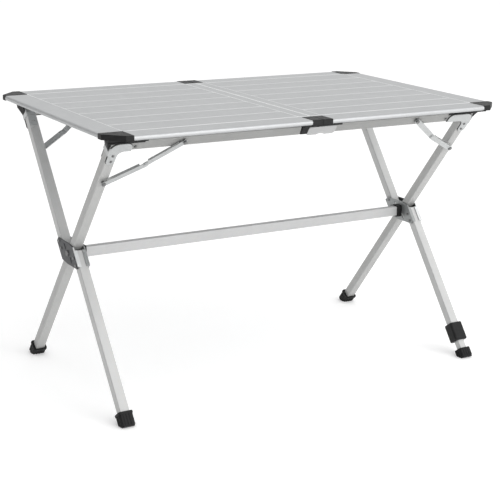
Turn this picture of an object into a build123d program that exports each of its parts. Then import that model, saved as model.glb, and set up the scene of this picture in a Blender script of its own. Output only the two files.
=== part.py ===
from build123d import *
from math import atan2, cos, degrees, hypot, radians, sin, tan
import os

os.makedirs("parts", exist_ok=True)

# Folding camping table, millimetres. +X along the length, +Y to the back, +Z up.
# The origin is on the floor under the middle of the tabletop.

# ---- tabletop -------------------------------------------------------------
LENGTH = 1124.0
WIDTH = 710.0
HEIGHT = 700.0
PANEL_T = 12.0
UNDERSIDE = HEIGHT - PANEL_T
PANEL_WALL = 1.1
NOSE_R = 5.0
SEAM_HALF = 0.5
EDGE_W = 60.0
END_BAND_W = 62.0
CENTRE_BAND_W = 33.0
SLAT_COUNT = 7
SLAT_GAP = 0.8
BEAD_W = 2.4
BEAD_H = 0.6
CAP_PROUD = 0.8
CAP_CUT = 42.0
CAP_SKIRT_T = 3.0
CAP_SKIRT_REACH = 40.0
CAP_SKIRT_IN = 54.0
CAP_SKIRT_OUT = 12.0
MID_CAP_X = 29.0
MID_CAP_Y = 50.0

# ---- leg frames -----------------------------------------------------------
HUB_Y = -21.5
HUB_Z = 350.0
TILT = atan2(0.78, 1.0)
LEG_X = 511.5
LEG_W = 25.0
LEG_T = 23.0
LEG_WALL = 1.5
LEG_R = 2.5
DOGLEG = 28.5
LEG_END_GAP = 12.0
RAIL_H = 29.0
RAIL_T = 23.0
RAIL_WALL = 1.5
RAIL_MID_Y = 404.0
RAIL_OUTER_X = 524.0
RAIL_SPLIT_X = 47.0
RAIL_SPLIT_GAP = 0.5
REST_GAP = 0.4

# ---- hubs and cross bar ---------------------------------------------------
PIN_R = 5.0
RUN_CLEAR = 0.06
PLATE_T = 3.0
PLATE_GAP = 0.35
BAR_H = 26.0
BAR_D = 18.0
BAR_WALL = 1.3
BAR_HALF = 481.0
SOCKET_PLUG = 24.0
SOCKET_BLOCK = 14.0
SOCKET_PROUD = 3.5

# ---- brackets, end blocks, feet -------------------------------------------
BRACKET_T = 2.0
# The arms of the two right brackets reach further along the rails.
BRACKET_ARM_END = {"left": 470.0, "right": 446.0}
BRACKET_DROP = 56.0
BRACKET_BEND_R = 22.0
BRACKET_ELBOW_R = 16.0
BRACKET_TOE_R = 10.5
BRACKET_ARM_R = 15.0
CHEEK_SLOT = (9.0, 4.0)
LIP_T = 2.0
LIP_DROP = 26.0
PAD_T = 1.2
PAD_PROUD = 1.2
BLOCK_OUT_X = 535.0
BLOCK_IN_X = 440.0
BLOCK_DROP = 13.0
JOINER_HALF = 42.0
JOINER_DROP = 16.5
JOINER_RISE = 11.0
JOINER_R = 9.0
ARCH_R = 19.0
ARCH_RISE = 4.0
FOOT_W = 34.0
FOOT_T = 30.0
FOOT_LEN = 34.0
FOOT_END = 3.0
FOOT_TOE = 4.0
FOOT_CUFF = 6.0
FOOT_RIB = 1.3
FOOT_RIB_W = 3.0
FOOT_RIB_PITCH = 7.5
RIVET_R = 3.6
RIVET_H = 1.8

# ---- folding stays --------------------------------------------------------
STAY_DROP = 120.0
STAY_RAIL_X = 338.0
STAY_KNEE = 7.0
STAY_W = 14.0
STAY_SHEET = 1.5
STAY_LOW = LEG_T / 2 + 1.5
STAY_UPPER_WEB = LEG_T / 2 + 5.2
STAY_LOWER_WEB = LEG_T / 2 + 7.0
STAY_FLAT = 12.0
STAY_PIN_R = 3.0
KNEE_PIN_R = 2.5
KNEE_HOLE_R = 3.05

# ---- levelling foot -------------------------------------------------------
LEVEL_TUBE_W = 20.4
LEVEL_TUBE_T = 18.4
CLAMP_LOW_Z = 38.0
CLAMP_HIGH_Z = 78.0
CLAMP_W = 40.0
CLAMP_T = 33.0

# Each leg frame is flat. Its plane has x along the rail, y up the leg and z outward.
FRONT = Plane(
    origin=(0, HUB_Y, HUB_Z), x_dir=(1, 0, 0), z_dir=(0, -cos(TILT), -sin(TILT))
)
BACK = Plane(
    origin=(0, HUB_Y, HUB_Z), x_dir=(-1, 0, 0), z_dir=(0, cos(TILT), -sin(TILT))
)
# The back rail is lifted so that both rails end at the same height.
BACK_RAIL_MID_Y = RAIL_MID_Y + DOGLEG * tan(TILT)


def save(part, name):
    """Label one finished piece and write it out."""
    part.label = name
    export_step(part, "parts/" + name + ".step")


def leg_station(height, out):
    """Distance up a leg frame at which a line at the given offset has this height."""
    return (height - HUB_Z + out * sin(TILT)) / cos(TILT)


def across(frame, x, y, out):
    """A plane at a point of a leg frame, facing up along the leg."""
    spot = frame.from_local_coords((x, y, out))
    return Plane(origin=spot, x_dir=frame.x_dir, z_dir=frame.y_dir)


def along(frame, x, y, out):
    """A plane at a point of a leg frame, facing along the rail."""
    spot = frame.from_local_coords((x, y, out))
    return Plane(origin=spot, x_dir=frame.y_dir, z_dir=frame.x_dir)


def tube(plane, size_a, size_b, wall, radius, length):
    """A straight rectangular tube standing on a plane."""
    with BuildPart() as made:
        with BuildSketch(plane):
            RectangleRounded(size_a, size_b, radius)
            RectangleRounded(
                size_a - 2 * wall, size_b - 2 * wall, radius - wall / 2, mode=Mode.SUBTRACT
            )
        extrude(amount=length)
    return made


def hub_hole(radius, x):
    """A cutting cylinder through one hub, on the fold axis."""
    with BuildPart(mode=Mode.PRIVATE) as cut:
        with BuildSketch(Plane(origin=(x, HUB_Y, HUB_Z), z_dir=(1, 0, 0))):
            Circle(radius)
        extrude(amount=LEG_W, both=True)
    return cut.part


# ============================ leg frames ===================================


def rail(frame, mid_y, out, x_from, x_to, name):
    """One half of a rail under the tabletop."""
    made = tube(
        along(frame, x_from, mid_y, out), RAIL_H, RAIL_T, RAIL_WALL, LEG_R, x_to - x_from
    )
    save(made.part, name)


def joiner(frame, mid_y, out, split, name):
    """The two-lobed plate across the split of a rail."""
    with BuildPart() as made:
        with BuildSketch(frame.offset(out + RAIL_T / 2)):
            with Locations((split, mid_y + (JOINER_RISE - JOINER_DROP) / 2)):
                RectangleRounded(2 * JOINER_HALF, JOINER_DROP + JOINER_RISE, JOINER_R)
            with Locations((split, mid_y - JOINER_DROP + ARCH_RISE - ARCH_R)):
                Circle(ARCH_R, mode=Mode.SUBTRACT)
        extrude(amount=BRACKET_T)
    save(made.part, name)


def cheek_outline(rail_y, side, arm_end):
    """Outline of a bracket's outer cheek: down the leg, round the corner and along the rail."""
    top = rail_y + RAIL_H / 2 - 3
    inner = rail_y - RAIL_H / 2 + 0.5
    low = rail_y - BRACKET_DROP
    leg_in = LEG_X - LEG_W / 2 + 3
    leg_out = LEG_X + LEG_W / 2
    with BuildSketch() as plate:
        Polygon(
            (side * arm_end, top),
            (side * leg_out, top),
            (side * leg_out, low),
            (side * leg_in, low),
            (side * leg_in, inner),
            (side * arm_end, inner),
            align=None,
        )
        at_bend = lambda v: v.X * side > leg_out - 1 and v.Y > top - 1
        at_elbow = lambda v: abs(v.X * side - leg_in) < 1 and low + 1 < v.Y < inner + 1
        at_toe = lambda v: v.Y < low + 1
        at_end = lambda v: v.X * side < arm_end + 1 and v.Y > top - 1
        fillet(plate.vertices().filter_by(at_bend), BRACKET_BEND_R)
        fillet(plate.vertices().filter_by(at_elbow), BRACKET_ELBOW_R)
        fillet(plate.vertices().filter_by(at_toe), BRACKET_TOE_R)
        fillet(plate.vertices().filter_by(at_end), BRACKET_ARM_R)
    return plate.sketch


def bracket(frame, rail_y, out, side, hand, name):
    """The bent plate that ties a leg to a rail: a cheek on each face, joined by a lip outside the leg."""
    leg_in = LEG_X - LEG_W / 2 + 3
    leg_out = LEG_X + LEG_W / 2
    low = rail_y - BRACKET_DROP
    cheek_top = rail_y - RAIL_H / 2 - 1
    back_face = out - LEG_T / 2 - BRACKET_T
    outline = cheek_outline(rail_y, side, BRACKET_ARM_END[hand])
    with BuildPart() as made:
        with BuildSketch(frame.offset(out + LEG_T / 2 + PAD_T)):
            add(outline)
        extrude(amount=BRACKET_T)
        # the second cheek, on the face towards the middle of the table
        with BuildSketch(frame.offset(back_face)) as cheek:
            with Locations((side * (leg_in + leg_out) / 2, (low + cheek_top) / 2)):
                Rectangle(leg_out - leg_in, cheek_top - low)
            free = cheek.vertices().filter_by(lambda v: v.X * side < leg_in + 1)
            fillet(free, 7.0)
            with Locations((side * (LEG_X + 1), low + 12), (side * (LEG_X + 1), cheek_top - 10)):
                SlotOverall(*CHEEK_SLOT, mode=Mode.SUBTRACT)
        extrude(amount=BRACKET_T)
        with BuildSketch(frame.offset(back_face)):
            with Locations((side * (leg_out + LIP_T / 2), rail_y - LIP_DROP / 2)):
                Rectangle(LIP_T, LIP_DROP)
        extrude(amount=LEG_T + PAD_T + 2 * BRACKET_T)
    save(made.part, name)


def end_block(frame, rail_y, out, side, hand, name):
    """The moulded block on a rail's end: a saddle, a small gusset and a pad behind the bracket."""
    rail_top = rail_y + RAIL_H / 2 + 0.3
    outer = LEG_X + LEG_W / 2 + LIP_T + 0.3
    inside, face = out - RAIL_T / 2 + 0.5, out + RAIL_T / 2
    crest = leg_station(UNDERSIDE - REST_GAP, face)
    start = BLOCK_IN_X if side > 0 else -BLOCK_OUT_X
    outline = cheek_outline(rail_y, side, BRACKET_ARM_END[hand])
    with BuildPart() as made:
        with BuildSketch(along(frame, start, 0, 0)):
            # section across the rail: x is up the leg, y is the outward normal
            Polygon((rail_top, inside), (rail_top, face), (crest, face), align=None)
        extrude(amount=BLOCK_OUT_X - BLOCK_IN_X)
        with BuildSketch(frame.offset(inside)):
            Polygon(
                (side * outer, rail_y - BLOCK_DROP),
                (side * BLOCK_OUT_X, rail_top - 5),
                (side * BLOCK_OUT_X, rail_top + 0.3),
                (side * outer, rail_top + 0.3),
                align=None,
            )
        extrude(amount=face - inside)
        with BuildSketch(frame.offset(face)):
            add(outline)
            offset(amount=PAD_PROUD, kind=Kind.ARC)
            with Locations((side * (BLOCK_IN_X + BLOCK_OUT_X) / 2, rail_top - 2)):
                Rectangle(BLOCK_OUT_X - BLOCK_IN_X, 4.6)
            with Locations((side * (outer - LIP_T / 2), rail_y - LIP_DROP / 2)):
                Rectangle(LIP_T + 0.6, LIP_DROP, mode=Mode.SUBTRACT)
        extrude(amount=PAD_T)
    save(made.part, name)


def stay_points(side, rail_y):
    """Leg pivot, knee and rail pivot of a stay; the knee lies away from the corner."""
    low = (side * LEG_X, rail_y - STAY_DROP)
    high = (side * STAY_RAIL_X, rail_y + 4)
    dx, dy = high[0] - low[0], high[1] - low[1]
    span = hypot(dx, dy)
    away = (-side * abs(dy) / span, -abs(dx) / span)
    knee = (
        (low[0] + high[0]) / 2 + STAY_KNEE * away[0],
        (low[1] + high[1]) / 2 + STAY_KNEE * away[1],
    )
    return low, knee, high


def stay_link(frame, out, start, knee, web, hole_r, stud, name):
    """A channel link from a pivot to the knee, flattened to a strap at the knee."""
    dx, dy = knee[0] - start[0], knee[1] - start[1]
    reach = hypot(dx, dy)
    turn = degrees(atan2(dy, dx))
    mid = ((start[0] + knee[0]) / 2, (start[1] + knee[1]) / 2)
    wall_len = reach - 2 * STAY_FLAT
    with BuildPart() as made:
        with BuildSketch(frame.offset(out + web)):
            with Locations(Location((mid[0], mid[1], 0), (0, 0, turn))):
                SlotCenterToCenter(reach, STAY_W)
            with Locations(start):
                Circle(STAY_PIN_R + RUN_CLEAR, mode=Mode.SUBTRACT)
            if hole_r:
                with Locations(knee):
                    Circle(hole_r, mode=Mode.SUBTRACT)
        extrude(amount=STAY_SHEET)
        with BuildSketch(frame.offset(out + STAY_LOW)):
            with Locations(Location((mid[0], mid[1], 0), (0, 0, turn))):
                with Locations((0, STAY_W / 2 - STAY_SHEET / 2), (0, STAY_SHEET / 2 - STAY_W / 2)):
                    Rectangle(wall_len, STAY_SHEET)
        extrude(amount=web - STAY_LOW + 0.2)
        if stud:
            # the knee stud: a shank through the other strap and a head on each end
            with BuildSketch(frame.offset(out + STAY_UPPER_WEB - 1.8)):
                with Locations(knee):
                    Circle(KNEE_PIN_R + 1.8)
            extrude(amount=1.5)
            with BuildSketch(frame.offset(out + STAY_UPPER_WEB - 1.8)):
                with Locations(knee):
                    Circle(KNEE_PIN_R)
            extrude(amount=STAY_LOWER_WEB - STAY_UPPER_WEB + 2.0)
            with BuildSketch(frame.offset(out + STAY_LOWER_WEB + STAY_SHEET)):
                with Locations(knee):
                    Circle(KNEE_PIN_R + 2.0)
            extrude(amount=1.2)
    save(made.part, name)


def frame_rivets(frame, rail_y, out, names):
    """Rivets of one leg frame: bracket rivets, the pegs beside the brackets and the stay pins."""
    face = out + RAIL_T / 2
    plate_face = face + PAD_T + BRACKET_T
    heads, pegs, pins = [], [], []
    for side, hand in zip((-1, 1), names):
        heads += [(side * LEG_X, rail_y - 27), (side * LEG_X, rail_y - 46)]
        pegs += [(side * (BRACKET_ARM_END[hand] - 9), rail_y - 3)]
        low, _, high = stay_points(side, rail_y)
        pins += [low, high]
    with BuildPart() as made:
        with BuildSketch(frame.offset(plate_face)):
            with Locations(*heads):
                Circle(RIVET_R)
        extrude(amount=RIVET_H, taper=25)
        with BuildSketch(frame.offset(face)):
            with Locations(*pegs):
                Circle(RIVET_R)
        extrude(amount=PAD_T + BRACKET_T, taper=10)
        with BuildSketch(frame.offset(face)):
            with Locations(*pins):
                Circle(STAY_PIN_R)
        extrude(amount=STAY_LOWER_WEB + STAY_SHEET + 0.3 - RAIL_T / 2 + 0.2)
        with BuildSketch(frame.offset(out + STAY_LOWER_WEB + STAY_SHEET + 0.3)):
            with Locations(*pins):
                Circle(STAY_PIN_R + 2.2)
        extrude(amount=1.4)
    return made


def foot_section():
    """Section of a boot, with grip ribs that stand out from its four sides."""
    RectangleRounded(FOOT_W, FOOT_T, 4.0)
    with Locations((-FOOT_RIB_PITCH, 0), (0, 0), (FOOT_RIB_PITCH, 0)):
        Rectangle(FOOT_RIB_W, FOOT_T + 2 * FOOT_RIB)
    with Locations((0, -FOOT_RIB_PITCH), (0, 0), (0, FOOT_RIB_PITCH)):
        Rectangle(FOOT_W + 2 * FOOT_RIB, FOOT_RIB_W)


def boot(frame, x, out, length):
    """The outside of a boot: square to the leg, drawn in at its toe and cut level with the floor."""
    ground = leg_station(0, out)
    with BuildPart() as made:
        with BuildSketch(across(frame, x, ground - FOOT_END, out)):
            RectangleRounded(FOOT_W - 2, FOOT_T - 2, 4.0)
        extrude(amount=FOOT_TOE + 0.1)
        with BuildSketch(across(frame, x, ground - FOOT_END + FOOT_TOE, out)):
            foot_section()
        extrude(amount=length + FOOT_END - FOOT_TOE)
        with Locations((0, 0, -50)):
            Box(3 * LENGTH, 3 * WIDTH, 100, mode=Mode.SUBTRACT)
    return made


def foot(frame, x, out):
    """A moulded boot with a cuff on a leg's end."""
    ground = leg_station(0, out)
    with BuildPart() as made:
        add(boot(frame, x, out, FOOT_LEN).part)
        with BuildSketch(across(frame, x, ground + FOOT_LEN - FOOT_CUFF, out)):
            RectangleRounded(FOOT_W + 3, FOOT_T + 3, 5.0)
        extrude(amount=FOOT_CUFF)
        with BuildSketch(across(frame, x, ground + FOOT_T / 2 + 2, out)):
            RectangleRounded(LEG_W + 0.2, LEG_T + 0.2, LEG_R)
        extrude(amount=FOOT_LEN, mode=Mode.SUBTRACT)
    return made


def leg_frame(frame, rail_y, out, tag, names, split):
    """Everything the two leg frames have in common, named left and right."""
    rail(frame, rail_y, out, -RAIL_OUTER_X, split - RAIL_SPLIT_GAP, tag + "_rail_" + names[0])
    rail(frame, rail_y, out, split + RAIL_SPLIT_GAP, RAIL_OUTER_X, tag + "_rail_" + names[1])
    joiner(frame, rail_y, out, split, tag + "_rail_joiner")
    for side, name in zip((-1, 1), names):
        bracket(frame, rail_y, out, side, name, tag + "_bracket_" + name)
        end_block(frame, rail_y, out, side, name, tag + "_end_block_" + name)
        low, knee, high = stay_points(side, rail_y)
        stay = tag + "_stay_" + name
        stay_link(frame, out, low, knee, STAY_LOWER_WEB, 0, True, stay + "_lower")
        stay_link(frame, out, high, knee, STAY_UPPER_WEB, KNEE_HOLE_R, False, stay + "_upper")


leg_frame(FRONT, RAIL_MID_Y, 0.0, "front", ("left", "right"), RAIL_SPLIT_X)
leg_frame(BACK, BACK_RAIL_MID_Y, DOGLEG, "back", ("right", "left"), -RAIL_SPLIT_X)
save(frame_rivets(FRONT, RAIL_MID_Y, 0.0, ("left", "right")).part, "front_rivets")

# Front frame legs: one straight tube from the front rail to the back foot.
LEG_LOW = leg_station(0, 0.0) + FOOT_T / 2 + 2.2
for side, name in ((-1, "left"), (1, "right")):
    front_leg = tube(
        across(FRONT, side * LEG_X, LEG_LOW, 0.0),
        LEG_W,
        LEG_T,
        LEG_WALL,
        LEG_R,
        RAIL_MID_Y - RAIL_H / 2 - 0.3 - LEG_LOW,
    )
    with front_leg:
        add(hub_hole(PIN_R, side * LEG_X), mode=Mode.SUBTRACT)
    save(front_leg.part, "front_leg_" + name)

with BuildPart() as rear_feet:
    for side in (-1, 1):
        add(foot(FRONT, side * LEG_X, 0.0).part)
save(rear_feet.part, "rear_feet")

# Back frame legs: two offset tubes a side, so that the cross closes with its legs side by side.
CLAMP_TOP = leg_station(CLAMP_HIGH_Z, -DOGLEG)
CLAMP_BOTTOM = leg_station(CLAMP_LOW_Z, -DOGLEG)
LOWER_GROUND = leg_station(0, -DOGLEG)
for side, name in ((1, "left"), (-1, "right")):
    upper = tube(
        across(BACK, side * LEG_X, LEG_END_GAP, DOGLEG),
        LEG_W,
        LEG_T,
        LEG_WALL,
        LEG_R,
        BACK_RAIL_MID_Y - RAIL_H / 2 - 0.3 - LEG_END_GAP,
    )
    save(upper.part, "back_upper_leg_" + name)
    tube_low = LOWER_GROUND + FOOT_T / 2 + 2.2 if name == "left" else CLAMP_BOTTOM + 12
    lower = tube(
        across(BACK, side * LEG_X, tube_low, -DOGLEG),
        LEG_W,
        LEG_T,
        LEG_WALL,
        LEG_R,
        -LEG_END_GAP - tube_low,
    )
    save(lower.part, "back_lower_leg_" + name)

left_front_foot = foot(BACK, LEG_X, -DOGLEG)
save(left_front_foot.part, "front_foot_left")

# Levelling foot: a clamp on the leg, an inner tube that slides in the leg, and its boot.
with BuildPart() as clamp:
    with BuildSketch(across(BACK, -LEG_X, CLAMP_BOTTOM, -DOGLEG)):
        RectangleRounded(CLAMP_W, CLAMP_T, 6.0)
    extrude(amount=CLAMP_TOP - CLAMP_BOTTOM)
    ends = clamp.faces().filter_by(Plane(BACK.origin, z_dir=BACK.y_dir))
    chamfer(ends.edges(), 2.0)
    with BuildSketch(across(BACK, -LEG_X, CLAMP_BOTTOM, -DOGLEG)):
        RectangleRounded(LEVEL_TUBE_W + 0.4, LEVEL_TUBE_T + 0.4, 2.0)
    extrude(amount=CLAMP_TOP - CLAMP_BOTTOM, mode=Mode.SUBTRACT)
    with BuildSketch(across(BACK, -LEG_X, CLAMP_BOTTOM + 11.8, -DOGLEG)):
        RectangleRounded(LEG_W + 0.2, LEG_T + 0.2, LEG_R)
    extrude(amount=CLAMP_TOP - CLAMP_BOTTOM, mode=Mode.SUBTRACT)
save(clamp.part, "leveller_clamp")

LEVEL_TUBE_LOW = LOWER_GROUND + FOOT_T / 2 + 3
level_tube = tube(
    across(BACK, -LEG_X, LEVEL_TUBE_LOW, -DOGLEG),
    LEVEL_TUBE_W,
    LEVEL_TUBE_T,
    LEG_WALL,
    2.0,
    CLAMP_TOP + 60 - LEVEL_TUBE_LOW,
)
save(level_tube.part, "leveller_tube")

LEVEL_FOOT_LEN = 24.0
with BuildPart() as level_foot:
    add(boot(BACK, -LEG_X, -DOGLEG, LEVEL_FOOT_LEN).part)
    with BuildSketch(across(BACK, -LEG_X, LEVEL_TUBE_LOW - 0.1, -DOGLEG)):
        RectangleRounded(LEVEL_TUBE_W + 0.2, LEVEL_TUBE_T + 0.2, 2.0)
    extrude(amount=LEVEL_FOOT_LEN, mode=Mode.SUBTRACT)
save(level_foot.part, "leveller_foot")

# ============================ hubs and cross bar ===========================

# Outline of a hub plate in the back frame's own x-y as (up the leg, outward); it is the same
# turned half a turn, so only one half is written.
HALF_OUTLINE = ((58.0, 31.0), (52.0, DOGLEG + LEG_T / 2 + 3), (3.0, DOGLEG + LEG_T / 2 + 2), (-22.0, 16.0))
PLATE_OUTLINE = HALF_OUTLINE + tuple((-up, -off) for up, off in HALF_OUTLINE)
PLATE_SLOTS = ((22.0, 6.0), (-22.0, -6.0))
PLATE_SLOT = (17.0, 6.5)
PRESS_H = 1.0
PLATE_RIVETS = ((47.0, DOGLEG), (27.0, DOGLEG), (-47.0, -DOGLEG), (-27.0, -DOGLEG))
OUTER_PLATE_X = LEG_X + LEG_W / 2 + PLATE_GAP
INNER_PLATE_X = LEG_X - LEG_W / 2 - PLATE_GAP - PLATE_T
PLATE_LIP_W = 9.0
PLATE_LIP_T = 2.0
PLATE_LIP_LEN = 44.0


def hub_plane(x):
    """A plane square to the fold axis with x up the back leg and y outward from it."""
    return Plane(origin=(x, HUB_Y, HUB_Z), x_dir=BACK.y_dir, z_dir=(-1, 0, 0))


def side_slab(side, near, far):
    """The start plane and depth of a slab between two distances from the table's middle."""
    return hub_plane(far if side > 0 else -near), far - near


def hub_plate(side, near, outer, name):
    """One hub plate, with a lip round the free face of each leg tube that it holds."""
    start, depth = side_slab(side, near, near + PLATE_T)
    lip_near = near + PLATE_T - PLATE_LIP_W if outer else near
    lip_start, lip_depth = side_slab(side, lip_near, lip_near + PLATE_LIP_W)
    lip_out = DOGLEG + LEG_T / 2 + 0.5 + PLATE_LIP_T / 2
    with BuildPart() as made:
        with BuildSketch(start) as outline:
            Polygon(*PLATE_OUTLINE, align=None)
            fillet(outline.vertices(), 3.0)
            Circle(PIN_R + RUN_CLEAR, mode=Mode.SUBTRACT)
            if not outer:
                with Locations(*PLATE_SLOTS):
                    SlotOverall(*PLATE_SLOT, mode=Mode.SUBTRACT)
        extrude(amount=depth)
        if outer:
            # the outer plate is pressed out in two ovals instead of slotted
            press_start, press_depth = side_slab(side, near + PLATE_T - 0.1, near + PLATE_T + PRESS_H)
            with BuildSketch(press_start):
                with Locations(*PLATE_SLOTS):
                    SlotOverall(*PLATE_SLOT)
            extrude(amount=press_depth)
        with BuildSketch(lip_start):
            with Locations((34, lip_out), (-34, -lip_out)):
                Rectangle(PLATE_LIP_LEN, PLATE_LIP_T)
        extrude(amount=lip_depth)
    save(made.part, name)


for side, name in ((-1, "left"), (1, "right")):
    hub_plate(side, OUTER_PLATE_X, True, "hub_plate_outer_" + name)
    hub_plate(side, INNER_PLATE_X, False, "hub_plate_inner_" + name)


def hub_rivets():
    """Rivet heads on the outer and inner faces of both hubs."""
    with BuildPart() as made:
        for side in (-1, 1):
            for near in (OUTER_PLATE_X + PLATE_T, INNER_PLATE_X - RIVET_H):
                start, depth = side_slab(side, near, near + RIVET_H)
                with BuildSketch(start):
                    with Locations(*PLATE_RIVETS):
                        Circle(RIVET_R)
                extrude(amount=depth)
    return made


with BuildPart() as back_rivets:
    add(frame_rivets(BACK, BACK_RAIL_MID_Y, DOGLEG, ("right", "left")).part)
    add(hub_rivets().part)
save(back_rivets.part, "back_rivets")

# Hub pins: shank through both plates and the leg, head outside, end in the bar's socket.
PIN_HEAD_X = OUTER_PLATE_X + PLATE_T + 0.3
PIN_END_X = BAR_HALF - 6
with BuildPart() as hub_pins:
    for side in (-1, 1):
        with BuildSketch(Plane(origin=(side * PIN_END_X, HUB_Y, HUB_Z), z_dir=(side, 0, 0))):
            Circle(PIN_R)
        extrude(amount=PIN_HEAD_X - PIN_END_X + 0.2)
        with BuildSketch(Plane(origin=(side * PIN_HEAD_X, HUB_Y, HUB_Z), z_dir=(side, 0, 0))):
            Circle(PIN_R + 3)
        extrude(amount=2.5, taper=20)
save(hub_pins.part, "hub_pins")

with BuildPart() as cross_bar:
    with BuildSketch(Plane(origin=(-BAR_HALF, HUB_Y, HUB_Z), x_dir=(0, 1, 0), z_dir=(1, 0, 0))):
        RectangleRounded(BAR_D, BAR_H, 2.0)
        RectangleRounded(BAR_D - 2 * BAR_WALL, BAR_H - 2 * BAR_WALL, 1.2, mode=Mode.SUBTRACT)
    extrude(amount=2 * BAR_HALF)
save(cross_bar.part, "cross_bar")

with BuildPart() as bar_sockets:
    for side in (-1, 1):
        with BuildSketch(
            Plane(
                origin=(side * (BAR_HALF - SOCKET_PLUG), HUB_Y, HUB_Z),
                x_dir=(0, 1, 0),
                z_dir=(side, 0, 0),
            )
        ):
            RectangleRounded(BAR_D - 2 * BAR_WALL - 0.2, BAR_H - 2 * BAR_WALL - 0.2, 1.0)
        extrude(amount=SOCKET_PLUG + 0.2)
        with BuildSketch(
            Plane(origin=(side * BAR_HALF, HUB_Y, HUB_Z), x_dir=(0, 1, 0), z_dir=(side, 0, 0))
        ):
            RectangleRounded(BAR_D + 2 * SOCKET_PROUD, BAR_H + 2 * SOCKET_PROUD, 4.0)
        extrude(amount=SOCKET_BLOCK)
        with BuildSketch(Plane(origin=(side * PIN_END_X, HUB_Y, HUB_Z), z_dir=(side, 0, 0))):
            Circle(PIN_R)
        extrude(amount=40, mode=Mode.SUBTRACT)
save(bar_sockets.part, "bar_sockets")

# ============================ tabletop =====================================

HALF_L = LENGTH / 2
HALF_W = WIDTH / 2
INNER_L = HALF_L - END_BAND_W
INNER_W = HALF_W - EDGE_W


def bead(edge, way):
    """Section of a raised bead on the top face, from an edge inwards."""
    Polygon(
        (edge, HEIGHT - 0.2),
        (edge, HEIGHT + BEAD_H / 3),
        (edge + way * BEAD_W / 3, HEIGHT + BEAD_H),
        (edge + way * BEAD_W * 2 / 3, HEIGHT + BEAD_H),
        (edge + way * BEAD_W, HEIGHT - 0.2),
        align=None,
    )


def long_edge(side, face, name):
    """A hollow edge profile with a rounded nose, notched for the middle cap."""
    start = SEAM_HALF if side > 0 else -INNER_L
    with BuildPart() as made:
        section = Plane(origin=(start, 0, 0), x_dir=(0, 1, 0), z_dir=(1, 0, 0))
        with BuildSketch(section) as outline:
            with Locations((face * (HALF_W - EDGE_W / 2), HEIGHT - PANEL_T / 2)):
                Rectangle(EDGE_W, PANEL_T)
            nose = outline.vertices().filter_by(lambda v: abs(v.X) > HALF_W - 1)
            fillet(nose, NOSE_R)
            bead(face * INNER_W, face)
            with Locations((face * (HALF_W - EDGE_W / 2 - 1), HEIGHT - PANEL_T / 2)):
                Rectangle(
                    EDGE_W - 2 - 2 * PANEL_WALL - 2, PANEL_T - 2 * PANEL_WALL, mode=Mode.SUBTRACT
                )
        extrude(amount=INNER_L - SEAM_HALF)
        with Locations(
            (side * MID_CAP_X / 2, face * (HALF_W - MID_CAP_Y / 2), HEIGHT - PANEL_T / 2)
        ):
            Box(MID_CAP_X, MID_CAP_Y, 2 * PANEL_T, mode=Mode.SUBTRACT)
    save(made.part, name)


def end_band(side, name):
    """The hollow band across the short end, with a rounded nose."""
    with BuildPart() as made:
        section = Plane(origin=(0, INNER_W, 0), x_dir=(1, 0, 0), z_dir=(0, -1, 0))
        with BuildSketch(section) as outline:
            with Locations((side * (HALF_L - END_BAND_W / 2), HEIGHT - PANEL_T / 2)):
                Rectangle(END_BAND_W, PANEL_T)
            nose = outline.vertices().filter_by(lambda v: abs(v.X) > HALF_L - 1)
            fillet(nose, NOSE_R)
            bead(side * INNER_L, side)
            with Locations((side * (HALF_L - END_BAND_W / 2 - 1), HEIGHT - PANEL_T / 2)):
                Rectangle(
                    END_BAND_W - 4 - 2 * PANEL_WALL, PANEL_T - 2 * PANEL_WALL, mode=Mode.SUBTRACT
                )
        extrude(amount=2 * INNER_W)
    save(made.part, name)


def centre_band(side, name):
    """The hollow band along the seam."""
    width = CENTRE_BAND_W - SEAM_HALF
    with BuildPart() as made:
        section = Plane(origin=(0, INNER_W, 0), x_dir=(1, 0, 0), z_dir=(0, -1, 0))
        with BuildSketch(section):
            with Locations((side * (SEAM_HALF + width / 2), HEIGHT - PANEL_T / 2)):
                Rectangle(width, PANEL_T)
                Rectangle(width - 2 * PANEL_WALL, PANEL_T - 2 * PANEL_WALL, mode=Mode.SUBTRACT)
            bead(side * SEAM_HALF, side)
            bead(side * CENTRE_BAND_W, -side)
        extrude(amount=2 * INNER_W)
    save(made.part, name)


def slats(side, name):
    """The lengthwise hollow slats of one half, with a raised bead along each long edge."""
    pitch = 2 * INNER_W / SLAT_COUNT
    start = CENTRE_BAND_W if side > 0 else -INNER_L
    width = pitch - SLAT_GAP
    section = Plane(origin=(start, 0, 0), x_dir=(0, 1, 0), z_dir=(1, 0, 0))
    with BuildPart() as made:
        with BuildSketch(section):
            spots = [
                ((i - (SLAT_COUNT - 1) / 2) * pitch, HEIGHT - PANEL_T / 2)
                for i in range(SLAT_COUNT)
            ]
            with Locations(*spots):
                Rectangle(width, PANEL_T)
            for middle, _ in spots:
                bead(middle - width / 2, 1)
                bead(middle + width / 2, -1)
            with Locations(*spots):
                Rectangle(width - 2 * PANEL_WALL, PANEL_T - 2 * PANEL_WALL, mode=Mode.SUBTRACT)
                Rectangle(PANEL_WALL, PANEL_T - PANEL_WALL)
        extrude(amount=INNER_L - CENTRE_BAND_W)
    save(made.part, name)


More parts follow.
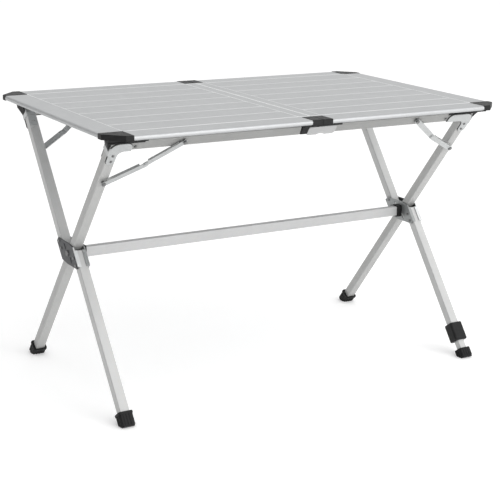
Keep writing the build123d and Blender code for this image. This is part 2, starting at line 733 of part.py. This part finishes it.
def corner_cap(side, face, name):
    """A cut-off corner cap and its skirt under the panel."""
    with BuildPart() as made:
        with BuildSketch(Plane.XY.offset(UNDERSIDE - 0.2)):
            Polygon(
                (side * INNER_L, face * INNER_W),
                (side * HALF_L, face * INNER_W),
                (side * HALF_L, face * (HALF_W - CAP_CUT)),
                (side * (HALF_L - CAP_CUT), face * HALF_W),
                (side * INNER_L, face * HALF_W),
                align=None,
            )
        extrude(amount=PANEL_T + CAP_PROUD + 0.2)
        rim = made.edges().group_by(Axis.Z)[-1]
        chamfer(rim, 1.0)
        with BuildSketch(Plane.XY.offset(UNDERSIDE - CAP_SKIRT_T - 0.1)) as skirt:
            Polygon(
                (side * (INNER_L - CAP_SKIRT_REACH), face * (HALF_W - 5)),
                (side * (INNER_L + CAP_SKIRT_OUT), face * (HALF_W - 5)),
                (side * (INNER_L + CAP_SKIRT_OUT), face * (HALF_W - CAP_SKIRT_IN)),
                (side * (INNER_L + 2), face * (HALF_W - CAP_SKIRT_IN)),
                align=None,
            )
            fillet(skirt.vertices(), 1.5)
        extrude(amount=CAP_SKIRT_T)
    save(made.part, name)


def mid_caps(side, name):
    """The two half caps of one side at the seam, front and back."""
    with BuildPart() as made:
        for face in (-1, 1):
            with BuildSketch(Plane.XY.offset(UNDERSIDE)):
                with Locations(
                    (side * (SEAM_HALF + MID_CAP_X) / 2, face * (HALF_W - MID_CAP_Y / 2))
                ):
                    Rectangle(MID_CAP_X - SEAM_HALF, MID_CAP_Y)
            extrude(amount=PANEL_T + CAP_PROUD)
        rim = made.edges().group_by(Axis.Z)[-1]
        chamfer(rim, 1.0)
    save(made.part, name)


for side, half in ((-1, "left"), (1, "right")):
    long_edge(side, -1, half + "_edge_front")
    long_edge(side, 1, half + "_edge_back")
    end_band(side, half + "_end_band")
    centre_band(side, half + "_centre_band")
    slats(side, half + "_slats")
    corner_cap(side, -1, half + "_corner_cap_front")
    corner_cap(side, 1, half + "_corner_cap_back")
    mid_caps(side, half + "_mid_caps")

# Turn latches: a bar under the seam, held to the left half, with a hanging finger tab.
LATCH_T = 4.0
LATCH_TOP = UNDERSIDE - 0.4
LATCH_W = 20.0
LATCH_X = (-50.0, 62.0)
LATCH_PIVOT_X = -8.0
LATCH_Y = HALF_W - 14.0
TAB_W = 18.0
TAB_DROP = 19.0
TAB_LEAN = 9.0


def latch(face, name):
    """One turn latch; face is -1 at the front and 1 at the back."""
    with BuildPart() as made:
        with BuildSketch(Plane.XY.offset(LATCH_TOP - LATCH_T)):
            with Locations(((LATCH_X[0] + LATCH_X[1]) / 2, face * LATCH_Y)):
                RectangleRounded(LATCH_X[1] - LATCH_X[0], LATCH_W, 5.0)
        extrude(amount=LATCH_T)
        low = LATCH_TOP - LATCH_T
        with BuildSketch(
            Plane(origin=(LATCH_X[0], 0, 0), x_dir=(0, 1, 0), z_dir=(1, 0, 0))
        ):
            Polygon(
                (face * (LATCH_Y + 6), low + 1),
                (face * (LATCH_Y - 3), low + 1),
                (face * (LATCH_Y - 3 - TAB_LEAN), low - TAB_DROP),
                (face * (LATCH_Y + 2 - TAB_LEAN), low - TAB_DROP),
                align=None,
            )
        extrude(amount=TAB_W)
        with BuildSketch(Plane.XY.offset(low - 1.5)):
            with Locations((LATCH_PIVOT_X, face * LATCH_Y)):
                Circle(6.0)
        extrude(amount=1.6)
    save(made.part, name)


latch(-1, "front_latch")
latch(1, "back_latch")
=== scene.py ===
from math import atan2, cos, pi, sin

import bpy
from mathutils import Matrix, Vector


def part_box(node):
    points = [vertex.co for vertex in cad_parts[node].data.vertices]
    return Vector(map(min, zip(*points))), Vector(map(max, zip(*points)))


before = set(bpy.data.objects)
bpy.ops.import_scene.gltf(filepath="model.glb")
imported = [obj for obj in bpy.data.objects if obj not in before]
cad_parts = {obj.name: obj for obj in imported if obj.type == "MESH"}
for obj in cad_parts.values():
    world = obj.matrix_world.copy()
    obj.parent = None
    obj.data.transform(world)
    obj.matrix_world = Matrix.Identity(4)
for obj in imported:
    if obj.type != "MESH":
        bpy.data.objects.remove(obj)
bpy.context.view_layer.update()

# ============================ material tools ===============================

# How far a leg leans for each metre that it rises, and the angle of that lean about the X axis.
LEG_SLOPE = 0.78
TILT = atan2(LEG_SLOPE, 1.0)

# The raised beads of the tabletop begin this high. Above it they get a painted highlight, a much lighter
# colour, and a lower roughness as if rubbed smooth.
BEAD_FOOT = 0.70005
BEAD_FADE = 0.0003
# The colour of the painted highlight on the raised beads.
BEAD_HIGHLIGHT = (0.86, 0.87, 0.87)
# The lips of the hub plates begin this far from the hub's middle plane, and get a painted highlight: a
# lighter colour than the face of the same sheet.
LIP_FOOT = 0.0402
LIP_FADE = 0.0004
LIP_HIGHLIGHT = (0.62, 0.63, 0.63)

# Sizes of the drawn lines along the tabletop, across it and along the legs, in metres.
LONG_LINES = (0.9, 0.0007, 0.0007)
CROSS_LINES = (0.0007, 0.9, 0.0007)
LEG_LINES = (0.0007, 0.0007, 0.9)
# The distance from one fine rib of a leg tube to the next.
LEG_RIB = 0.0025

# The sizes of the patches in the anodised surface, in metres, and the depth of its relief.
OXIDE_CLOUD = (0.16, 0.09, 0.09)
SPECKS = (0.0012, 0.0012, 0.0012)
SMEARS = (0.03, 0.05, 0.05)
ALUMINIUM_RELIEF = 0.00006

# How metallic the tubes and the tabletop look, and how rough their surfaces start.
TUBE_METALLIC, TOP_METALLIC = 0.45, 0.8
TUBE_ROUGH, TOP_ROUGH = 0.44, 0.42

# The darkest and lightest colour of each kind of profile. All are one anodised aluminium: the rail's
# darker colour is painted shade, and the back legs' lighter colour is painted light.
TOP_DARK, TOP_LIGHT = (0.440, 0.448, 0.454), (0.472, 0.480, 0.484)
# The rail's colours are darkened: painted shade.
RAIL_SHADE_DARK, RAIL_SHADE_LIGHT = (0.285, 0.286, 0.280), (0.330, 0.331, 0.325)
FRONT_DARK, FRONT_LIGHT = (0.405, 0.406, 0.400), (0.470, 0.471, 0.465)
# The back legs' colours are lightened: painted light.
BACK_LIT_DARK, BACK_LIT_LIGHT = (0.470, 0.472, 0.468), (0.545, 0.547, 0.543)
BAR_DARK, BAR_LIGHT = (0.410, 0.412, 0.412), (0.475, 0.477, 0.477)


def start_material(name, metallic):
    """A new node material and its main shader."""
    material = bpy.data.materials.new(name)
    material.use_nodes = True
    tree = material.node_tree
    shader = tree.nodes["Principled BSDF"]
    shader.inputs["Metallic"].default_value = metallic
    return material, tree, shader


def placed(tree, size, turn=0.0):
    """Object coordinates divided by a feature size in metres, in axes turned about X."""
    coordinates = tree.nodes.new("ShaderNodeTexCoord")
    mapping = tree.nodes.new("ShaderNodeMapping")
    mapping.vector_type = "TEXTURE"
    mapping.inputs["Rotation"].default_value = (turn, 0.0, 0.0)
    mapping.inputs["Scale"].default_value = size
    tree.links.new(coordinates.outputs["Object"], mapping.inputs["Vector"])
    return mapping.outputs["Vector"]


def noise(tree, size, detail=2.0, turn=0.0, distortion=0.0):
    """Smooth noise from 0 to 1 whose features have the given size along each axis."""
    texture = tree.nodes.new("ShaderNodeTexNoise")
    texture.inputs["Scale"].default_value = 1.0
    texture.inputs["Detail"].default_value = detail
    texture.inputs["Distortion"].default_value = distortion
    tree.links.new(placed(tree, size, turn), texture.inputs["Vector"])
    return texture.outputs["Fac"]


def ranged(tree, value, low, high, from_low=0.3, from_high=0.7):
    """A value taken from one range to another, held at its ends."""
    node = tree.nodes.new("ShaderNodeMapRange")
    node.inputs["From Min"].default_value = from_low
    node.inputs["From Max"].default_value = from_high
    node.inputs["To Min"].default_value = low
    node.inputs["To Max"].default_value = high
    tree.links.new(value, node.inputs["Value"])
    return node.outputs["Result"]


def combine(tree, operation, first, second):
    """Two values joined by a maths operation; either may be a plain number."""
    node = tree.nodes.new("ShaderNodeMath")
    node.operation = operation
    for socket, value in zip(node.inputs, (first, second)):
        if isinstance(value, (int, float)):
            socket.default_value = value
        else:
            tree.links.new(value, socket)
    return node.outputs["Value"]


def distance_along(tree, axis, turn=0.0):
    """The shaded point's place along one axis, in metres, in axes turned about X."""
    parts = tree.nodes.new("ShaderNodeSeparateXYZ")
    tree.links.new(placed(tree, (1.0, 1.0, 1.0), turn), parts.inputs["Vector"])
    return parts.outputs[axis]


def tint(tree, factor, dark, light):
    """A colour between two colours, by a factor from 0 to 1."""
    node = tree.nodes.new("ShaderNodeMix")
    node.data_type = "RGBA"
    for socket, value in ((node.inputs["A"], dark), (node.inputs["B"], light)):
        if isinstance(value, tuple):
            socket.default_value = (*value, 1.0)
        else:
            tree.links.new(value, socket)
    tree.links.new(factor, node.inputs["Factor"])
    return node.outputs["Result"]


def bump(tree, shader, height, depth, strength=1.0):
    """Raise the surface by a height pattern of the given depth in metres."""
    node = tree.nodes.new("ShaderNodeBump")
    node.inputs["Strength"].default_value = strength
    node.inputs["Distance"].default_value = depth
    tree.links.new(height, node.inputs["Height"])
    tree.links.new(node.outputs["Normal"], shader.inputs["Normal"])


def anodised(name, dark, light, rough, lines, turn=0.0, metallic=TUBE_METALLIC, rub=0.0, ribs=0.0):
    """Satin anodised aluminium: lines drawn along the extrusion, cloudy oxide, specks and smears."""
    material, tree, shader = start_material(name, metallic)
    drawn = noise(tree, lines, 3.0, turn)
    cloud = noise(tree, OXIDE_CLOUD, 3.0)
    speck = noise(tree, SPECKS, 2.0)
    mottle = combine(tree, "ADD", ranged(tree, drawn, 0.0, 0.45), ranged(tree, cloud, 0.0, 0.4))
    shade = combine(tree, "ADD", mottle, ranged(tree, speck, 0.0, 0.15))
    colour = tint(tree, shade, dark, light)
    smear = noise(tree, SMEARS, 4.0, 0.0, 1.5)
    gloss = combine(tree, "ADD", ranged(tree, smear, rough, rough + 0.08), ranged(tree, drawn, 0.0, 0.06))
    # On the raised beads: a painted highlight in the colour, and a lower roughness.
    if rub:
        height = distance_along(tree, "Z")
        bead_polish_and_highlight = ranged(tree, height, 0.0, rub, BEAD_FOOT, BEAD_FOOT + BEAD_FADE)
        colour = tint(tree, bead_polish_and_highlight, colour, BEAD_HIGHLIGHT)
        gloss = combine(tree, "SUBTRACT", gloss, combine(tree, "MULTIPLY", bead_polish_and_highlight, 0.14))
    tree.links.new(colour, shader.inputs["Base Color"])
    tree.links.new(gloss, shader.inputs["Roughness"])
    relief = combine(tree, "ADD", drawn, combine(tree, "MULTIPLY", speck, 0.5))
    if ribs:
        across = combine(tree, "MULTIPLY", distance_along(tree, "X"), 2 * pi / ribs)
        ridges = combine(tree, "SINE", across, 0.0)
        relief = combine(tree, "ADD", relief, combine(tree, "MULTIPLY", ridges, 1.5))
    bump(tree, shader, relief, ALUMINIUM_RELIEF)
    return material


def lip_mask(tree):
    """1 on the hub plates' lips, which stand beyond the plates' long edges, and 0 elsewhere."""
    hub_low, hub_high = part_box("hub_plate_outer_left")
    hub_y, hub_z = (hub_low[1] + hub_high[1]) / 2, (hub_low[2] + hub_high[2]) / 2
    hub_out = hub_y * cos(TILT) - hub_z * sin(TILT)
    out = combine(tree, "SUBTRACT", distance_along(tree, "Y", -TILT), hub_out)
    return ranged(tree, combine(tree, "ABSOLUTE", out, 0.0), 0.0, 1.0, LIP_FOOT, LIP_FOOT + LIP_FADE)


def pressed(name, dark, light, rough, metallic=0.8, lip_highlight=False):
    """Pressed steel sheet: small zinc spangle, faint tool marks and dulled patches."""
    material, tree, shader = start_material(name, metallic)
    spangle = noise(tree, (0.004, 0.004, 0.004), 3.0, 0.0, 1.0)
    marks = noise(tree, (0.02, 0.0006, 0.02), 2.0)
    patch = noise(tree, (0.03, 0.03, 0.03), 2.0)
    shade = combine(tree, "ADD", ranged(tree, spangle, 0.0, 0.5), ranged(tree, patch, 0.0, 0.5))
    colour = tint(tree, shade, dark, light)
    # A painted highlight on the hub plates' lips: the same sheet is coloured lighter there.
    if lip_highlight:
        colour = tint(tree, lip_mask(tree), colour, LIP_HIGHLIGHT)
    tree.links.new(colour, shader.inputs["Base Color"])
    gloss = combine(tree, "ADD", ranged(tree, patch, rough, rough + 0.12), ranged(tree, marks, 0.0, 0.06))
    tree.links.new(gloss, shader.inputs["Roughness"])
    bump(tree, shader, combine(tree, "ADD", spangle, marks), 0.00008)
    return material


def moulded(name, dark, light, rough, grain=0.0011):
    """Moulded black plastic: fine leather grain, rubbed patches and a little dust."""
    material, tree, shader = start_material(name, 0.0)
    skin = noise(tree, (grain, grain, grain), 3.0, 0.0, 0.6)
    rub = noise(tree, (0.018, 0.018, 0.010), 4.0, 0.0, 1.0)
    dust = noise(tree, (0.0035, 0.0035, 0.0035), 3.0)
    worn = combine(tree, "MULTIPLY", ranged(tree, rub, 0.0, 1.0, 0.45, 0.75), ranged(tree, dust, 0.3, 1.0))
    tree.links.new(tint(tree, worn, dark, light), shader.inputs["Base Color"])
    gloss = combine(tree, "ADD", ranged(tree, rub, rough, rough + 0.14), ranged(tree, skin, 0.0, 0.08))
    tree.links.new(gloss, shader.inputs["Roughness"])
    bump(tree, shader, skin, 0.00012)
    shader.inputs["Specular IOR Level"].default_value = 0.28
    return material


# ============================ materials ====================================

def top_aluminium(name, lines, rub):
    """The tabletop's aluminium, with a painted highlight on its raised beads by the given share, and the
    beads made smoother.
    """
    return anodised(name, TOP_DARK, TOP_LIGHT, TOP_ROUGH, lines, metallic=TOP_METALLIC, rub=rub)


def leg_aluminium(name, dark, light, turn):
    """The ribbed aluminium of a leg tube that leans by the given angle about X."""
    return anodised(name, dark, light, TUBE_ROUGH, LEG_LINES, turn, ribs=LEG_RIB)


# The last number is the share of painted highlight on the raised beads.
slat_metal = top_aluminium("slat_aluminium", LONG_LINES, 0.45)
band_metal = top_aluminium("band_aluminium", CROSS_LINES, 1.0)
edge_metal = top_aluminium("edge_aluminium", LONG_LINES, 0.8)
# The rail, in colours darkened as painted shade.
shaded_rail_metal = anodised("shaded_rail_aluminium", RAIL_SHADE_DARK, RAIL_SHADE_LIGHT, TUBE_ROUGH, LONG_LINES)
bar_metal = anodised("bar_aluminium", BAR_DARK, BAR_LIGHT, TUBE_ROUGH, LONG_LINES)
front_leg_metal = leg_aluminium("front_leg_aluminium", FRONT_DARK, FRONT_LIGHT, TILT)
# The back legs, in colours lightened as painted light.
lit_back_leg_metal = leg_aluminium("lit_back_leg_aluminium", BACK_LIT_DARK, BACK_LIT_LIGHT, -TILT)
zinc = pressed("zinc_plate", (0.44, 0.45, 0.45), (0.54, 0.55, 0.55), 0.32)
dull_zinc = pressed("dull_zinc_plate", (0.26, 0.27, 0.27), (0.36, 0.37, 0.37), 0.36)
# The outer hub plates, dark, with a painted highlight on their lips.
dark_steel = pressed("dark_plate", (0.050, 0.052, 0.055), (0.090, 0.092, 0.095), 0.36, 0.8, True)
rivet_steel = pressed("rivet_steel", (0.14, 0.14, 0.14), (0.26, 0.26, 0.26), 0.26)
pin_steel = pressed("pin_steel", (0.09, 0.09, 0.09), (0.18, 0.18, 0.18), 0.30)
plastic = moulded("black_plastic", (0.004, 0.004, 0.0043), (0.016, 0.016, 0.017), 0.44)

# The first matching word in a node's name gives its material.
FINISHES = (
    ("rivets", rivet_steel),
    ("pins", pin_steel),
    ("end_band", band_metal),
    ("centre_band", band_metal),
    ("edge", edge_metal),
    ("slats", slat_metal),
    ("cap", plastic),
    ("latch", plastic),
    ("end_block", plastic),
    ("feet", plastic),
    ("foot", plastic),
    ("clamp", plastic),
    ("sockets", plastic),
    ("joiner", bar_metal),
    ("bracket", zinc),
    ("stay", zinc),
    ("hub_plate_outer", dark_steel),
    ("hub_plate_inner", dull_zinc),
    ("front_leg", front_leg_metal),
    ("back_upper_leg", lit_back_leg_metal),
    ("back_lower_leg", lit_back_leg_metal),
    ("leveller_tube", lit_back_leg_metal),
    ("rail", shaded_rail_metal),
    ("cross_bar", bar_metal),
)

for name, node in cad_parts.items():
    finish = next(material for word, material in FINISHES if word in name)
    node.data.materials.clear()
    node.data.materials.append(finish)

# ============================ studio =======================================

# How far the floor goes to each side, in metres, and how strongly it glows to keep shadows pale.
FLOOR_REACH = 12.0
FLOOR_GLOW = 0.2


def floor():
    """A wide pale floor, level with the feet."""
    mesh = bpy.data.meshes.new("studio_floor")
    reach = FLOOR_REACH
    corners = [(-reach, -reach, 0), (reach, -reach, 0), (reach, reach, 0), (-reach, reach, 0)]
    mesh.from_pydata(corners, [], [(0, 1, 2, 3)])
    made = bpy.data.objects.new("studio_floor", mesh)
    bpy.context.collection.objects.link(made)
    material, tree, shader = start_material("studio_floor", 0.0)
    cloud = noise(tree, (1.5, 1.5, 1.5), 2.0)
    tree.links.new(tint(tree, cloud, (0.92, 0.92, 0.92), (0.95, 0.95, 0.95)), shader.inputs["Base Color"])
    shader.inputs["Roughness"].default_value = 0.9
    shader.inputs["Emission Color"].default_value = (1.0, 1.0, 1.0, 1.0)
    shader.inputs["Emission Strength"].default_value = FLOOR_GLOW
    mesh.materials.append(material)


def softbox(name, place, aim, width, height, power):
    """A large soft area light pointed at a place."""
    data = bpy.data.lights.new(name, "AREA")
    data.shape = "RECTANGLE"
    data.size, data.size_y = width, height
    data.energy = power
    made = bpy.data.objects.new(name, data)
    bpy.context.collection.objects.link(made)
    made.location = place
    made.rotation_euler = (Vector(aim) - Vector(place)).to_track_quat("-Z", "Y").to_euler()
    return made


# How white the surroundings are on the left and on the right, and how strongly they shine.
LEFT_GREY, RIGHT_WHITE = 0.35, 1.0
SKY_STRENGTH = 1.06
# The point that the lights face.
MIDDLE = (0.0, 0.0, 0.4)


def studio():
    """White surroundings, greyer on the left, and soft lights from the front and above."""
    world = bpy.data.worlds.new("studio")
    world.use_nodes = True
    tree = world.node_tree
    background = tree.nodes["Background"]
    background.inputs["Strength"].default_value = SKY_STRENGTH
    sides = tree.nodes.new("ShaderNodeSeparateXYZ")
    tree.links.new(tree.nodes.new("ShaderNodeTexCoord").outputs["Generated"], sides.inputs["Vector"])
    whiteness = ranged(tree, sides.outputs["X"], LEFT_GREY, RIGHT_WHITE, -0.8, 0.0)
    tree.links.new(whiteness, background.inputs["Color"])
    bpy.context.scene.world = world
    softbox("front_light", (1.0, -4.8, 1.7), MIDDLE, 6.0, 3.4, 115.0)
    softbox("key_light", (1.6, -2.6, 3.0), MIDDLE, 3.2, 2.4, 22.0)


# Where the camera stands: its angles round its target in radians, its distance from it in metres, and
# its lens and sensor in millimetres.
AZIMUTH, ELEVATION, ROLL = -0.5354, 0.2711, 0.0190
DISTANCE = 3.5146
TARGET = Vector((0.0129, 0.0, 0.2855))
LENS, SENSOR = 93.11, 36.0


def camera():
    """The camera, to the front left of the table, with its slight roll."""
    across, up_part = cos(ELEVATION), sin(ELEVATION)
    back = Vector((sin(AZIMUTH) * across, -cos(AZIMUTH) * across, up_part))
    right = Vector((0.0, 0.0, 1.0)).cross(back).normalized()
    up = back.cross(right)
    turned_right = cos(ROLL) * right + sin(ROLL) * up
    turned_up = cos(ROLL) * up - sin(ROLL) * right
    data = bpy.data.cameras.new("photo_camera")
    data.lens = LENS
    data.sensor_width = SENSOR
    made = bpy.data.objects.new("photo_camera", data)
    bpy.context.collection.objects.link(made)
    axes = Matrix((turned_right, turned_up, back)).transposed().to_4x4()
    made.matrix_world = Matrix.Translation(TARGET + back * DISTANCE) @ axes
    bpy.context.scene.camera = made


floor()
studio()
camera()
bpy.context.scene.view_settings.view_transform = "Standard"
